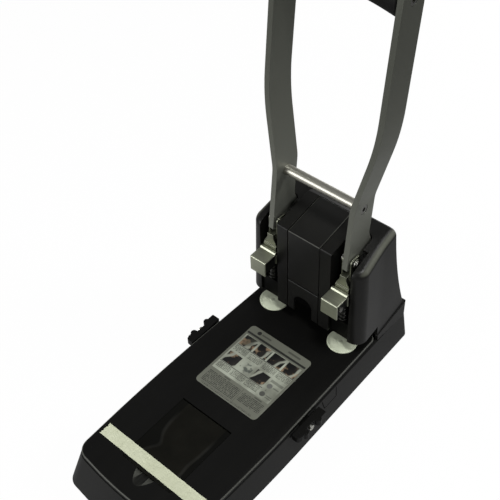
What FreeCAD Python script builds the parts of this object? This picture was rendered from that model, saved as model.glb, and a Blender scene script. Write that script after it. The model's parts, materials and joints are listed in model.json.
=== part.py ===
import FreeCAD, Part
import math
import os

# Heavy-duty two-hole lever punch with a long two-arm handle.
# Millimetres. The model is drawn about the middle of the hole line on the deck's top face
# (X to the operator's right, Y to the back, Z up) and is shifted at export, so that the
# origin of the files is the middle of the footprint, at the floor.

V = FreeCAD.Vector
X_AXIS = V(1, 0, 0)
Y_AXIS = V(0, 1, 0)
Z_AXIS = V(0, 0, 1)
BIG = 500.0                     # reach of cutting tools that run right through

# ---- driving dimensions ---------------------------------------------------------------
HOLE_SPACING = 80.0             # centre to centre of the two holes
EDGE_DISTANCE = 12.0            # hole centre to the paper's edge, at the stop
HOLE_RADIUS = 3.0
THROAT = 14.0                   # paper gap between deck and upper jaw
FIT = 0.05                      # radial clearance of a running fit
GAP = 0.3                       # clearance between pieces that move past each other
SEAT = 0.02                     # clearance between pieces that rest on each other

DECK_HALF = 61.0                # half width of the deck beside the discs
DECK_FRONT_HALF = 61.4
SIDE_SWELL = 4.0                # how far the sides bow out past both
DECK_BULGE = (DECK_HALF + DECK_FRONT_HALF) / 2 + SIDE_SWELL
DECK_THICK = 4.0
DECK_FRONT = -231.5             # front corners of the deck
DECK_NOSE = -238.4              # control point of the bowed front edge
DECK_BACK = 24.0
BULGE_Y = -135.0
NOSE_BOW = 5.5                  # radius of the bowed front edge over its half width
SIDE_BOW = 2000.0               # radius of the bowed sides
CORNER_RADIUS = 13.0
BACK_CORNER = 7.0
DECK_EDGE_ROUND = 1.6

SHELL_WALL = 3.0
GROOVE = 0.8                    # shadow gap between deck and base shell
SHELL_STEP = 0.6                # how far the shell stands out beyond the deck's edge
SHELL_DEPTH = 34.0              # deck top down to the shell's rim
SHELL_FLARE = 4.4               # how far the walls lean out on each side, top to rim
NOSE_FLARE = 12.5
TAIL_TOP = 72.0                 # rear face at the groove
TAIL_FLARE = 0.5
TAIL_LEAN = 4.5                 # how far the rear face leans in above the groove
SHOULDER_LOW = 2.0              # seam height where the shoulder starts
SHOULDER_HIGH = 13.0            # and its height at the rear
SHOULDER_STEP = 0.9             # how far the shoulder stands out beyond the tower
POCKET = (-59.5, -41.5)         # grooved outline on the right wall
POCKET_TOP = -6.0
POCKET_LOW = -16.5
POCKET_GROOVE = 0.9

COVER_THICK = 2.5
COVER_INSET = 1.0
FOOT_RADIUS = 9.0
FOOT_PROUD = 2.0
FOOT_X = 50.0
FOOT_FRONT_Y = -222.0
FOOT_BACK_Y = 58.0
COVER_SCREW = 1.75              # radius of the screws that hold the cover
COVER_SCREW_HEAD = 1.6
COVER_SCREW_LENGTH = 12.0
SCREW_X = 46.0
SCREW_FRONT_Y = -200.0
SCREW_BACK_Y = 10.0
POST_HALF = 4.5

PLATE_THICK = 5.0               # steel lower jaw
PLATE_HALF = 54.0
PLATE_FRONT = -20.0
PLATE_BACK = 46.0

DISC_RADIUS = 14.0
DISC_PROUD = 0.8
DISC_SUNK = 2.2

TOWER_FRONT = -7.0              # front of the cheeks
TOWER_HALF_FRONT = 64.2         # at the foot of the cheeks' front corners
TOWER_HALF_BACK = 61.2
TOWER_WAIST_Y = 26.0            # the cheeks run parallel behind this
TOWER_LEAN = 3.8                # how far each side leans in, foot to top
TOWER_CORNER = 11.0
TOP_ROUND = 7.0
BACK_ROUND = 3.0
CHEEK_INNER = 49.6
RAMP_FRONT_Z = 100.5            # top of the cheeks at the front
RAMP_BACK_Z = 119.0
BACK_TOP_Y = 46.0               # hollow back: top, middle and foot
BACK_MID_Y = 52.2
BACK_MID_Z = 68.0
BACK_FOOT_Y = 66.0
TOWER_WALL = 3.0
COLUMN_HALF = 29.1
COLUMN_FRONT = -8.0
COLUMN_FRONT_Z = 112.0
COLUMN_CREST_Y = 26.0
COLUMN_CREST_Z = 122.0
COLUMN_BACK = 44.0
CAP_HALF = 17.4
CAP_SPLIT_Z = 51.5
CAP_GAP = 0.35
ARCH_HALF = 10.0
ARCH_TOP = 36.0
OPENING_BACK = 16.0             # back of the wide openings round the punch heads
ARM_SLOT_BACK = 31.0

PIVOT_Y = 22.3
PIVOT_Z = 94.3
PIVOT_RADIUS = 5.0
BUSH_WALL = 2.0
LEVER_SWING = 60.0              # degrees from upright to fully down
LINK_Y = 5.8
LINK_Z = 101.6
LINK_RADIUS = 2.5
CLIP_THICK = 1.0
CLIP_WALL = 1.8
LINK_PLAY = 0.6                 # the pin swings on an arc while the punch runs straight

ARM_THICK = 5.0
ARM_SHOULDER = 26.0             # full depth is reached this far above the pivot
ARM_DEPTH = 27.2
ARM_OUTER_LOW = 42.3
ARM_OUTER_TOP = 56.25
ARM_BEND_LOW = 160.0
ARM_BEND_RADIUS = 35.0          # outside of the lower bend
ARM_BEND_HIGH = 226.0
ARM_LEAN = 0.104                # how far the arm leans back per millimetre of height
ARM_FRONT_Y = 1.6               # front edge at ARM_FRONT_Z
ARM_FRONT_Z = 146.5
ARM_FOOT_Z = 97.0
BOSS_RADIUS = 10.5
GRIP_Z = 337.0
ROD_Z = 153.5
ROD_RADIUS = 4.6
GRIP_CORE = 6.0
GRIP_WAIST = 10.2
GRIP_END = 14.8
GRIP_FLARE = 32.0               # length of the flare at each end of the grip
SCREW_HEAD = 4.2
SCREW_SUNK = 3.0                # depth of the counterbore in the arm
SCREW_RADIUS = 2.5
HEX_RADIUS = 2.2

FRAME_THICK = 1.8
FRAME_FRONT = -4.0              # beside the punch guide
FRAME_UPPER_FRONT = 11.0        # above it
FRAME_BACK = 38.0
FRAME_FOOT = 26.0
FRAME_TOP = 103.5
FRAME_STEP_Z = 42.0
FRAME_WEB = 80.0
FRAME_SCREW_TIP = 10.0
HEX_HEAD = 5.0
HEX_HEAD_HEIGHT = 4.0
GUIDE_FRONT = -5.0
GUIDE_BACK = 9.0
GUIDE_TOP = 34.0

PUNCH_SHANK = 4.0
PUNCH_WALL = 0.3                # left at the cutting edge
TIP_CLEAR = 0.27                # punch over disc when the lever is fully down
PUNCH_TAPER = 4.0               # height of the taper above the cutting edge
BORE_END = 6.0                  # solid length of the punch below its carrier
WINDOW_HALF = 2.0               # window in the punch that lets the waste out
WINDOW_HEIGHT = 12.0
WINDOW_LAND = 2.0
PUNCH_GRIP = 4.0                # length of the punch held in its carrier
BRACKET_FRONT = -22.8
BRACKET_TOP = 72.9
BRACKET_FOOT = 56.0
BRACKET_BACK = -7.2
BRACKET_RISE = 2.0
BRACKET_SHEET = 1.5
BRACKET_IN = 30.9
BRACKET_OUT = 48.2
CARRIER_LOW = 74.5
CARRIER_TOP = 90.4
GUSSET_FRONT = -4.6             # tapered plate in front of the ears
GUSSET_HALF = 7.0
EAR_FRONT = -0.6
CARRIER_BACK = 4.5
EAR_THICK = 1.5
EAR_GAP = 0.9

WELL_HALF = 27.7
WELL_BACK = -137.6
WELL_FRONT = -211.0
WELL_DEPTH = 22.0
WELL_WALL = 1.8
LID_THICK = 2.0
LEDGE = 1.5                     # rebate in the deck that the lid rests over
HINGE_RADIUS = 1.2
SCOOP_RADIUS = 22.0             # finger scoop in front of the lid
SCOOP_LENGTH = 13.0
SCOOP_DEPTH = 2.6

LABEL_HALF = 34.9
LABEL_BACK = -36.5
LABEL_FRONT = -116.4
LABEL_THICK = 0.3
TAPE_WIDTH = 12.5
TAPE_HALF = 58.5
TAPE_BACK = -196.0
TAPE_THICK = 0.3

GUIDE_LEFT_Y = -68.0
GUIDE_RIGHT_Y = -86.5
BAR_WIDTH = 12.0
BAR_THICK = 4.0
BAR_LENGTH = 112.0
STOP_LENGTH = 37.0
STOP_WIDTH = 8.4
STOP_HIGH = 6.5
STOP_DROP = 3.0                 # how far the stop's top lies below the deck
NOTCH = 11.0
NOTCH_DEPTH = 2.5
LUG_RADIUS = 3.2                # the two lugs beside the screw
LUG_PROUD = 1.9
CHANNEL_REACH = 54.0
CHANNEL_WALL = 3.0

# ---- worked out from the driving dimensions -------------------------------------------
HOLE_X = HOLE_SPACING / 2
FLOOR = SHELL_DEPTH + FOOT_PROUD
SHELL_TOP = -DECK_THICK - GROOVE
PLATE_TOP = -DECK_THICK - SEAT
ARM_X = ARM_OUTER_LOW - ARM_THICK / 2
LINK_ARM = math.hypot(LINK_Y - PIVOT_Y, LINK_Z - PIVOT_Z)
LINK_START = math.atan2(LINK_Z - PIVOT_Z, LINK_Y - PIVOT_Y)
LINK_END = LINK_START + math.radians(LEVER_SWING)
TRAVEL = LINK_ARM * (math.sin(LINK_START) - math.sin(LINK_END))
PUNCH_TIP_Z = TRAVEL + DISC_PROUD + TIP_CLEAR
PUNCH_TOP = CARRIER_LOW + PUNCH_GRIP
GRIP_Y = ARM_FRONT_Y + ARM_LEAN * (GRIP_Z - ARM_FRONT_Z) + ARM_DEPTH / 2
ROD_Y = ARM_FRONT_Y + ARM_LEAN * (ROD_Z - ARM_FRONT_Z) + ARM_DEPTH / 2
GRIP_HALF = ARM_OUTER_TOP - ARM_THICK
PLATE_IN = COLUMN_HALF + 0.2    # inner side plate of each punch frame
PLATE_OUT = CHEEK_INNER - 0.2   # outer face of the outer side plate
HINGE_OUTER = HINGE_RADIUS + 0.75
HINGE_Y = WELL_BACK - HINGE_OUTER
HINGE_Z = -HINGE_OUTER
CAP_BACK = 36.0
CLIP_RADIUS = PIVOT_RADIUS + 3
BUSH_RADIUS = PIVOT_RADIUS + BUSH_WALL
SHAFT_HALF = PLATE_OUT + 2.2
LINK_HALF = ARM_THICK / 2 + EAR_GAP + EAR_THICK + 2.6
FRAME_SCREW_Y = (FRAME_FOOT + FRAME_BACK) / 2
BLOCK_SCREW_Y = BRACKET_FRONT + 6.0
BLOCK_SCREW_Z = BRACKET_FOOT + 9.0
STOP_IN = DECK_BULGE + SHELL_STEP + GAP
STOP_OUT = STOP_IN + STOP_WIDTH
BAR_MIDDLE = -STOP_DROP - STOP_HIGH / 2 - 0.6
BAR_LOW = BAR_MIDDLE - BAR_THICK / 2
BAR_HIGH = BAR_MIDDLE + BAR_THICK / 2


# ---- helpers --------------------------------------------------------------------------
def outline(corners, at=V):
    """Closed wire through corners (u, v, radius), each rounded by a tangent arc."""
    edges = []
    ends = []
    count = len(corners)
    for i, (u, v, radius) in enumerate(corners):
        here = V(u, v, 0)
        before = V(*corners[i - 1][:2], 0) - here
        after = V(*corners[(i + 1) % count][:2], 0) - here
        before.normalize()
        after.normalize()
        half = before.getAngle(after) / 2
        if radius == 0 or abs(half - math.pi / 2) < 1e-6:
            ends.append((here, here, None))
            continue
        reach = radius / math.tan(half)
        middle = before + after
        middle.normalize()
        bulge = here + middle * (radius / math.sin(half) - radius)
        ends.append((here + before * reach, here + after * reach, bulge))
    for i, (start, stop, bulge) in enumerate(ends):
        if bulge is not None:
            edges.append(Part.Arc(at(*start), at(*bulge), at(*stop)).toShape())
        follow = ends[(i + 1) % count][0]
        if (follow - stop).Length > 1e-6:
            edges.append(Part.LineSegment(at(*stop), at(*follow)).toShape())
    return Part.Wire(edges)


def mirrored(corners):
    """Right half of an outline, back to front, made whole about X = 0."""
    left = [(-u, v, radius) for u, v, radius in reversed(corners) if u > 0]
    return corners + left


def plate_xy(corners, low, high):
    wire = outline(corners, lambda u, v, w: V(u, v, low))
    return Part.Face(wire).extrude(Z_AXIS * (high - low))


def plate_yz(corners, left, right):
    wire = outline(corners, lambda u, v, w: V(left, u, v))
    return Part.Face(wire).extrude(X_AXIS * (right - left))


def plate_xz(corners, front, back):
    wire = outline(corners, lambda u, v, w: V(u, front, v))
    return Part.Face(wire).extrude(Y_AXIS * (back - front))


def box(x, y, z):
    """Box between the pairs x, y and z."""
    return Part.makeBox(x[1] - x[0], y[1] - y[0], z[1] - z[0], V(x[0], y[0], z[0]))


def rod_x(radius, left, right, y, z):
    return Part.makeCylinder(radius, right - left, V(left, y, z), X_AXIS)


def rod_z(radius, x, y, low, high):
    return Part.makeCylinder(radius, high - low, V(x, y, low), Z_AXIS)


def tube_x(outer, inner, left, right, y, z):
    return rod_x(outer, left, right, y, z).cut(rod_x(inner, left, right, y, z))


def hexagon(radius, u, v):
    """Corners of a hexagon about (u, v)."""
    return [(u + radius * math.cos(math.pi / 3 * i), v + radius * math.sin(math.pi / 3 * i), 0)
            for i in range(6)]


def flip(shape):
    """The same piece for the left-hand side."""
    return shape.mirror(V(0, 0, 0), X_AXIS)


def facet(points):
    return Part.Face(Part.makePolygon(points + points[:1]))


def group(shapes):
    return Part.makeCompound(shapes)


def save(name, shape):
    shape = shape.copy()
    shape.translate(V(0, -CENTRE_Y, FLOOR))
    shape.exportStep("parts/%s.step" % name)


# ---- base -----------------------------------------------------------------------------
def plan(side, nose, back):
    """Outline of the base seen from above, grown at the sides and the nose."""
    return mirrored([
        (0, DECK_NOSE - nose, NOSE_BOW * (DECK_FRONT_HALF + side)),
        (DECK_FRONT_HALF + side, DECK_FRONT - nose, CORNER_RADIUS),
        (DECK_BULGE + side, BULGE_Y, SIDE_BOW),
        (DECK_HALF + side, back, BACK_CORNER),
    ])


def plan_wire(side, nose, back, height):
    return outline(plan(side, nose, back), lambda u, v, w: V(u, v, height))


def base_body(inset, low, high):
    """Drafted body between two heights; inset moves the walls inwards."""
    sections = []
    for height in (low, high):
        lean = (SHELL_TOP - height) / (SHELL_TOP + SHELL_DEPTH)
        sections.append(plan_wire(SHELL_STEP + SHELL_FLARE * lean - inset,
                                  SHELL_STEP + NOSE_FLARE * lean - inset,
                                  TAIL_TOP + TAIL_FLARE * lean - inset, height))
    return Part.makeLoft(sections, True, True)


def shoulder_line(lift):
    """Side view of everything below the seam between base and tower."""
    return [
        (DECK_BACK + GAP - lift, -BIG, 0),
        (DECK_BACK + GAP - lift, SHOULDER_LOW + lift, 2),
        (TAIL_TOP, SHOULDER_HIGH + lift, 0),
        (TAIL_TOP, -BIG, 0),
    ]


def shoulder_body(inset):
    """The raised part round the tower's foot."""
    half = TOWER_HALF_BACK + SHOULDER_STEP - inset
    back = TAIL_TOP - inset
    low = SHELL_TOP - SHELL_WALL
    corners = mirrored([
        (half, DECK_BACK - SHELL_WALL, 0),
        (half, back, BACK_CORNER),
    ])
    body = plate_xy(corners, low, SHOULDER_HIGH + SHELL_WALL)
    slope = [(back, SHELL_TOP, 0), (back - TAIL_LEAN, SHOULDER_HIGH + SHELL_WALL, 0),
             (BIG, SHOULDER_HIGH + SHELL_WALL, 0), (BIG, SHELL_TOP, 0)]
    return body.cut(plate_yz(slope, -BIG, BIG))


def wall_pocket():
    """Grooved outline in the right wall, open at the top."""
    front, back = POCKET
    slant = 2.0
    grooves = []
    for grow in (0, -POCKET_GROOVE):
        grooves.append(plate_yz([
            (front - grow - slant, POCKET_TOP, 0), (front - grow, POCKET_LOW - grow, 1),
            (back + grow, POCKET_LOW - grow, 1), (back + grow + slant, POCKET_TOP, 0)], 0, BIG))
    groove = grooves[0].cut(grooves[1])
    return groove.cut(base_body(POCKET_GROOVE, -SHELL_DEPTH, SHELL_TOP))


def base_shell():
    outer = base_body(0, -SHELL_DEPTH, SHELL_TOP)
    inner = base_body(SHELL_WALL, -SHELL_DEPTH - 1, SHELL_TOP + 1)
    shell = outer.cut(inner)
    hump = shoulder_body(0).common(plate_yz(shoulder_line(0), -BIG, BIG))
    hump = hump.cut(shoulder_body(SHELL_WALL))
    shell = shell.fuse(hump).removeSplitter()
    for side, y in ((-1, GUIDE_LEFT_Y), (1, GUIDE_RIGHT_Y)):
        slot = box(sorted((side * 40, side * 90)),
                   (y - BAR_WIDTH / 2 - GAP, y + BAR_WIDTH / 2 + GAP),
                   (BAR_LOW - GAP, BAR_HIGH + GAP))
        shell = shell.cut(slot)
    return shell.cut(wall_pocket())


def deck():
    plate = plate_xy(plan(0, 0, DECK_BACK), -DECK_THICK, 0)
    rim = [e for e in plate.Edges if all(abs(v.Z) < 1e-6 for v in e.Vertexes)]
    plate = plate.makeFillet(DECK_EDGE_ROUND, rim)
    for side in (-1, 1):
        seat = rod_z(DISC_RADIUS + GAP, side * HOLE_X, 0, -DISC_SUNK - SEAT, 1)
        plate = plate.cut(seat)
    plate = plate.cut(plate_xy(mirrored([
        (WELL_HALF + GAP, WELL_FRONT - GAP, 3),
        (WELL_HALF + GAP, WELL_BACK + GAP, 3)]), -LID_THICK - GAP, 1))
    plate = plate.cut(box((-WELL_HALF + LEDGE, WELL_HALF - LEDGE),
                          (WELL_FRONT + LEDGE, WELL_BACK - 4 * HINGE_RADIUS), (-BIG, 1)))
    plate = plate.cut(lid_hinge_bed())
    return plate.cut(finger_scoop())


def finger_scoop():
    """Round-bottomed hollow that runs out towards the front, for lifting the lid."""
    scoop = Part.makeCylinder(SCOOP_RADIUS, 2 * SCOOP_LENGTH, V(0, 0, SCOOP_RADIUS), Y_AXIS)
    fall = math.degrees(math.atan(SCOOP_DEPTH / SCOOP_LENGTH))
    scoop.rotate(V(0, 0, 0), X_AXIS, -fall)
    scoop.translate(V(0, WELL_FRONT - SCOOP_LENGTH, 0))
    return scoop.cut(box((-BIG, BIG), (WELL_FRONT + LEDGE, BIG), (-BIG, BIG)))


def lid_hinge_bed():
    """Round-bottomed trough in the deck for the lid's hinge barrel."""
    bed = rod_x(HINGE_OUTER + GAP, -WELL_HALF - GAP, WELL_HALF + GAP, HINGE_Y, HINGE_Z)
    return bed.fuse(box((-WELL_HALF - GAP, WELL_HALF + GAP),
                        (HINGE_Y - HINGE_OUTER - GAP, HINGE_Y + HINGE_OUTER + GAP), (HINGE_Z, 1)))


def storage_well():
    top = -DECK_THICK - SEAT
    outer = box((-WELL_HALF, WELL_HALF), (WELL_FRONT, WELL_BACK - 2), (-WELL_DEPTH, top))
    inner = plate_xy(mirrored([
        (WELL_HALF - WELL_WALL, WELL_FRONT + WELL_WALL, 4),
        (WELL_HALF - WELL_WALL, WELL_BACK - 2 - WELL_WALL, 4)]), WELL_WALL - WELL_DEPTH, 1)
    rib_half = 7.0
    waist = (WELL_FRONT + WELL_BACK) / 2
    for side in (-1, 1):
        rib = rod_z(rib_half, side * (WELL_HALF + 1), waist, -WELL_DEPTH, top - 3)
        inner = inner.cut(rib)
    return outer.cut(inner)


def storage_lid():
    top = plate_xy(mirrored([
        (WELL_HALF, WELL_FRONT, 3),
        (WELL_HALF, HINGE_Y, 0)]), -LID_THICK, 0)
    barrel = rod_x(HINGE_OUTER, -WELL_HALF, WELL_HALF, HINGE_Y, HINGE_Z)
    lid = top.fuse(barrel).removeSplitter()
    bore = rod_x(HINGE_RADIUS + FIT, -WELL_HALF - 1, WELL_HALF + 1, HINGE_Y, HINGE_Z)
    return lid.cut(bore)


def hinge_pin():
    reach = WELL_HALF + GAP
    return rod_x(HINGE_RADIUS, -reach, reach, HINGE_Y, HINGE_Z)


def packing_tape():
    """Strip of crepe tape across the deck that keeps the lid shut."""
    strip = [(-TAPE_HALF, TAPE_BACK, 0), (TAPE_HALF, TAPE_BACK, 0),
             (TAPE_HALF, TAPE_BACK - TAPE_WIDTH, 0), (-TAPE_HALF, TAPE_BACK - TAPE_WIDTH, 0)]
    return plate_xy(strip, SEAT, SEAT + TAPE_THICK)


def instruction_label():
    return plate_xy(mirrored([(LABEL_HALF, LABEL_FRONT, 4), (LABEL_HALF, LABEL_BACK, 4)]),
                    SEAT, SEAT + LABEL_THICK)


def bottom_cover():
    low = -SHELL_DEPTH + COVER_INSET
    inset = SHELL_WALL + GAP
    cover = base_body(inset, low, low + COVER_THICK)
    for x, y in corners_at(SCREW_X, SCREW_FRONT_Y, SCREW_BACK_Y):
        cover = cover.cut(rod_z(COVER_SCREW, x, y, -BIG, BIG))
    return cover


def corners_at(x, front, back):
    """Four places, the same on the left and on the right."""
    return [(side * x, y) for side in (-1, 1) for y in (front, back)]


def feet():
    """Rubber pads stuck to the cover."""
    top = -SHELL_DEPTH + COVER_INSET - SEAT
    return group([rod_z(FOOT_RADIUS, x, y, -FLOOR, top)
                  for x, y in corners_at(FOOT_X, FOOT_FRONT_Y, FOOT_BACK_Y)])


def cover_screws():
    screws = []
    face = -SHELL_DEPTH + COVER_INSET - SEAT
    for x, y in corners_at(SCREW_X, SCREW_FRONT_Y, SCREW_BACK_Y):
        head = rod_z(2 * COVER_SCREW, x, y, face - COVER_SCREW_HEAD, face)
        shank = rod_z(COVER_SCREW - SEAT, x, y, face - 1, face + COVER_SCREW_LENGTH)
        screws.append(head.fuse(shank))
    return group(screws)


def base_posts():
    """Posts that the cover's screws bite into, up to the deck and the jaw plate."""
    posts = []
    low = -SHELL_DEPTH + COVER_INSET + COVER_THICK + SEAT
    for x, y in corners_at(SCREW_X, SCREW_FRONT_Y, SCREW_BACK_Y):
        high = -DECK_THICK - SEAT
        if y > PLATE_FRONT:
            high = PLATE_TOP - PLATE_THICK - SEAT
        post = box((x - POST_HALF, x + POST_HALF), (y - POST_HALF, y + POST_HALF), (low, high))
        depth = low + COVER_SCREW_LENGTH
        posts.append(post.cut(rod_z(COVER_SCREW, x, y, low - 1, depth)))
    return group(posts)


def jaw_plate():
    """Steel plate under the deck that takes the punching force."""
    plate = plate_xy(mirrored([(PLATE_HALF, PLATE_FRONT, 4), (PLATE_HALF, PLATE_BACK, 4)]),
                     PLATE_TOP - PLATE_THICK, PLATE_TOP)
    for side in (-1, 1):
        plate = plate.cut(rod_z(SCREW_RADIUS, side * HOLE_X, FRAME_SCREW_Y, -BIG, BIG))
    return plate


def cutting_disc():
    """Replaceable plastic disc that the punch bites into, turned to a fresh place when worn."""
    return rod_z(DISC_RADIUS, HOLE_X, 0, -DISC_SUNK, DISC_PROUD)


# ---- tower ----------------------------------------------------------------------------
def tower_side(inset):
    """Side view of the cheeks, as a face in the plane X = 0: hollow back and sloping top."""
    rise = (RAMP_BACK_Z - RAMP_FRONT_Z) / (BACK_TOP_Y - TOWER_FRONT)
    reach = 2 * TOWER_HALF_FRONT
    foot = V(0, BACK_FOOT_Y - inset, SHOULDER_HIGH)
    top = V(0, BACK_TOP_Y - inset, RAMP_BACK_Z - inset)
    ahead = V(0, top.y - reach, top.z - rise * reach)
    edges = [
        Part.Arc(foot, V(0, BACK_MID_Y - inset, BACK_MID_Z), top).toShape(),
        Part.LineSegment(top, ahead).toShape(),
        Part.LineSegment(ahead, V(0, ahead.y, -BIG)).toShape(),
        Part.LineSegment(V(0, ahead.y, -BIG), V(0, foot.y, -BIG)).toShape(),
        Part.LineSegment(V(0, foot.y, -BIG), foot).toShape(),
    ]
    return Part.Face(Part.Wire(edges))


def slab(face, left, right):
    """A face of the plane X = 0 stretched between two values of X."""
    face = face.copy()
    face.translate(V(left, 0, 0))
    return face.extrude(X_AXIS * (right - left))


def tower_plan(height):
    """Outline of the cheeks at a height: they widen towards rounded front corners."""
    inward = TOWER_LEAN * height / RAMP_BACK_Z
    return outline(mirrored([
        (TOWER_HALF_FRONT - inward, TOWER_FRONT, TOWER_CORNER),
        (TOWER_HALF_BACK - inward, TOWER_WAIST_Y, 150),
        (TOWER_HALF_BACK - inward, BACK_FOOT_Y + 1, 0),
    ]), lambda u, v, w: V(u, v, height))


def tower_block():
    """The cheeks as one solid block, with its top and back edges rounded."""
    block = slab(tower_side(0), -BIG, BIG)
    block = block.common(Part.makeLoft([tower_plan(0), tower_plan(RAMP_BACK_Z + 1)], True, True))
    rim = [e for e in block.Edges
           if e.BoundBox.ZMin > RAMP_FRONT_Z - 1 and e.BoundBox.YMin < BACK_TOP_Y - 1]
    block = block.makeFillet(TOP_ROUND, rim)
    back = [e for e in block.Edges
            if e.BoundBox.ZMax > RAMP_FRONT_Z and e.BoundBox.YMin > BACK_TOP_Y - 1]
    return block.makeFillet(BACK_ROUND, back)


def column_side(inset):
    """Side view of the raised middle of the tower."""
    front = COLUMN_FRONT + inset
    return [
        (front, -BIG if inset else 0, 0),
        (front, COLUMN_FRONT_Z - inset, 3.5),
        (12 + inset, COLUMN_CREST_Z - 1 - inset, 45),
        (COLUMN_CREST_Y + 6, COLUMN_CREST_Z - inset, 22),
        (COLUMN_BACK - inset, COLUMN_CREST_Z - 5 - inset, 4),
        (COLUMN_BACK - inset, -BIG if inset else 0, 0),
    ]


def tower_shell():
    """Moulded housing: two cheeks, a back and a raised middle, with slots for the arms."""
    body = tower_block()
    column = plate_yz(column_side(0), -COLUMN_HALF, COLUMN_HALF)
    body = body.fuse(column)
    body = body.cut(plate_yz(shoulder_line(GAP), -BIG, BIG))
    body = body.cut(box((-BIG, BIG), (-BIG, DECK_BACK + GAP), (-BIG, THROAT)))
    hollow = slab(tower_side(TOWER_WALL), -BIG, BIG)
    for side in (-1, 1):
        room = (side * COLUMN_HALF, side * CHEEK_INNER)
        body = body.cut(hollow.common(box(sorted(room), (-BIG, BIG), (-BIG, BIG))))
        body = body.cut(box(sorted(room), (-BIG, OPENING_BACK), (0, BIG)))
        body = body.cut(arm_slot(side))
        pocket = sorted((side * (CHEEK_INNER - 1), side * (CHEEK_INNER + 3.4)))
        body = body.cut(rod_x(CLIP_RADIUS + 1, *pocket, PIVOT_Y, PIVOT_Z))
    body = body.cut(rod_x(PIVOT_RADIUS + GAP, -CHEEK_INNER, CHEEK_INNER, PIVOT_Y, PIVOT_Z))
    inside = plate_yz(column_side(TOWER_WALL), TOWER_WALL - COLUMN_HALF, COLUMN_HALF - TOWER_WALL)
    body = body.cut(inside)
    back_room = hollow.common(box((TOWER_WALL - COLUMN_HALF, COLUMN_HALF - TOWER_WALL),
                                  (0, BIG), (-BIG, BIG)))
    body = body.cut(back_room)
    reach = CAP_HALF + CAP_GAP
    body = body.cut(box((-reach, reach), (-BIG, CAP_BACK + CAP_GAP), (-BIG, BIG)))
    return body.removeSplitter()


def arm_slot(side):
    """Narrow slot behind the wide opening, with a round end."""
    half = ARM_THICK / 2 + 2.2
    x = side * ARM_X
    slot = box((x - half, x + half), (0, ARM_SLOT_BACK - half), (PIVOT_Z, BIG))
    return slot.fuse(rod_z(half, x, ARM_SLOT_BACK - half, PIVOT_Z, BIG))


def centre_cap():
    """Removable cover over the middle of the tower: front panel and top in one moulding."""
    skin = plate_yz(column_side(0), -CAP_HALF, CAP_HALF)
    skin = skin.cut(plate_yz(column_side(TOWER_WALL), -BIG, BIG))
    keep = box((-BIG, BIG), (-BIG, CAP_BACK), (CAP_SPLIT_Z + CAP_GAP, BIG))
    return skin.common(keep)


def lower_panel():
    """Front panel below the cap, with the arched window over the paper."""
    panel = box((-CAP_HALF, CAP_HALF), (COLUMN_FRONT, COLUMN_FRONT + TOWER_WALL),
                (THROAT, CAP_SPLIT_Z - CAP_GAP))
    arch = plate_xz([(-ARCH_HALF, 0, 0), (-ARCH_HALF, ARCH_TOP, ARCH_HALF - 1),
                     (ARCH_HALF, ARCH_TOP, ARCH_HALF - 1), (ARCH_HALF, 0, 0)], -BIG, BIG)
    return panel.cut(arch)


# ---- steel frame in the tower ---------------------------------------------------------
def punch_frame():
    """Two side plates, the punch's guide block and the foot that stands on the jaw plate."""
    low = PLATE_TOP + SEAT
    side_view = [
        (FRAME_FRONT, THROAT, 0), (FRAME_FRONT, FRAME_STEP_Z, 3),
        (FRAME_UPPER_FRONT, FRAME_STEP_Z + FRAME_UPPER_FRONT - FRAME_FRONT, 6),
        (FRAME_UPPER_FRONT, FRAME_TOP, 6), (FRAME_BACK, FRAME_TOP, 6),
        (FRAME_BACK, low, 0), (FRAME_FOOT, low, 0), (FRAME_FOOT, THROAT, 0),
    ]
    inner = plate_yz(side_view, PLATE_IN, PLATE_IN + FRAME_THICK)
    outer = plate_yz(side_view, PLATE_OUT - FRAME_THICK, PLATE_OUT)
    guide = box((PLATE_IN, PLATE_OUT), (GUIDE_FRONT, GUIDE_BACK), (THROAT, GUIDE_TOP))
    foot = box((PLATE_IN, PLATE_OUT), (FRAME_FOOT, FRAME_BACK), (low, GUIDE_TOP))
    web = box((PLATE_IN, PLATE_OUT), (FRAME_BACK - FRAME_THICK, FRAME_BACK), (low, FRAME_WEB))
    frame = inner.multiFuse([outer, guide, foot, web]).removeSplitter()
    frame = frame.cut(rod_z(PUNCH_SHANK + FIT, HOLE_X, 0, 0, BIG))
    frame = frame.cut(rod_x(PIVOT_RADIUS + SEAT, 0, BIG, PIVOT_Y, PIVOT_Z))
    return frame.cut(rod_z(SCREW_RADIUS, HOLE_X, FRAME_SCREW_Y, -BIG, FRAME_SCREW_TIP + 2))


def frame_screws():
    screws = []
    for side in (-1, 1):
        x = side * HOLE_X
        face = PLATE_TOP - PLATE_THICK - SEAT
        head = plate_xy(hexagon(HEX_HEAD, x, FRAME_SCREW_Y), face - HEX_HEAD_HEIGHT, face)
        shank = rod_z(SCREW_RADIUS - SEAT, x, FRAME_SCREW_Y, face - 1, FRAME_SCREW_TIP)
        screws.append(head.fuse(shank))
    return group(screws)


def paper_stop():
    """Bent strip that the paper's edge is pushed against."""
    sheet = 1.5
    half = PLATE_OUT
    front = box((-half, half), (EDGE_DISTANCE, EDGE_DISTANCE + sheet), (SEAT, THROAT - SEAT))
    flange = box((-half, half), (EDGE_DISTANCE, DECK_BACK), (SEAT, SEAT + sheet))
    stop = front.fuse(flange).removeSplitter()
    for side in (-1, 1):
        stop = stop.cut(rod_z(DISC_RADIUS + GAP, side * HOLE_X, 0, 0, DISC_PROUD + GAP))
    return stop


def pivot_shaft():
    return rod_x(PIVOT_RADIUS, -SHAFT_HALF, SHAFT_HALF, PIVOT_Y, PIVOT_Z)


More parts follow.
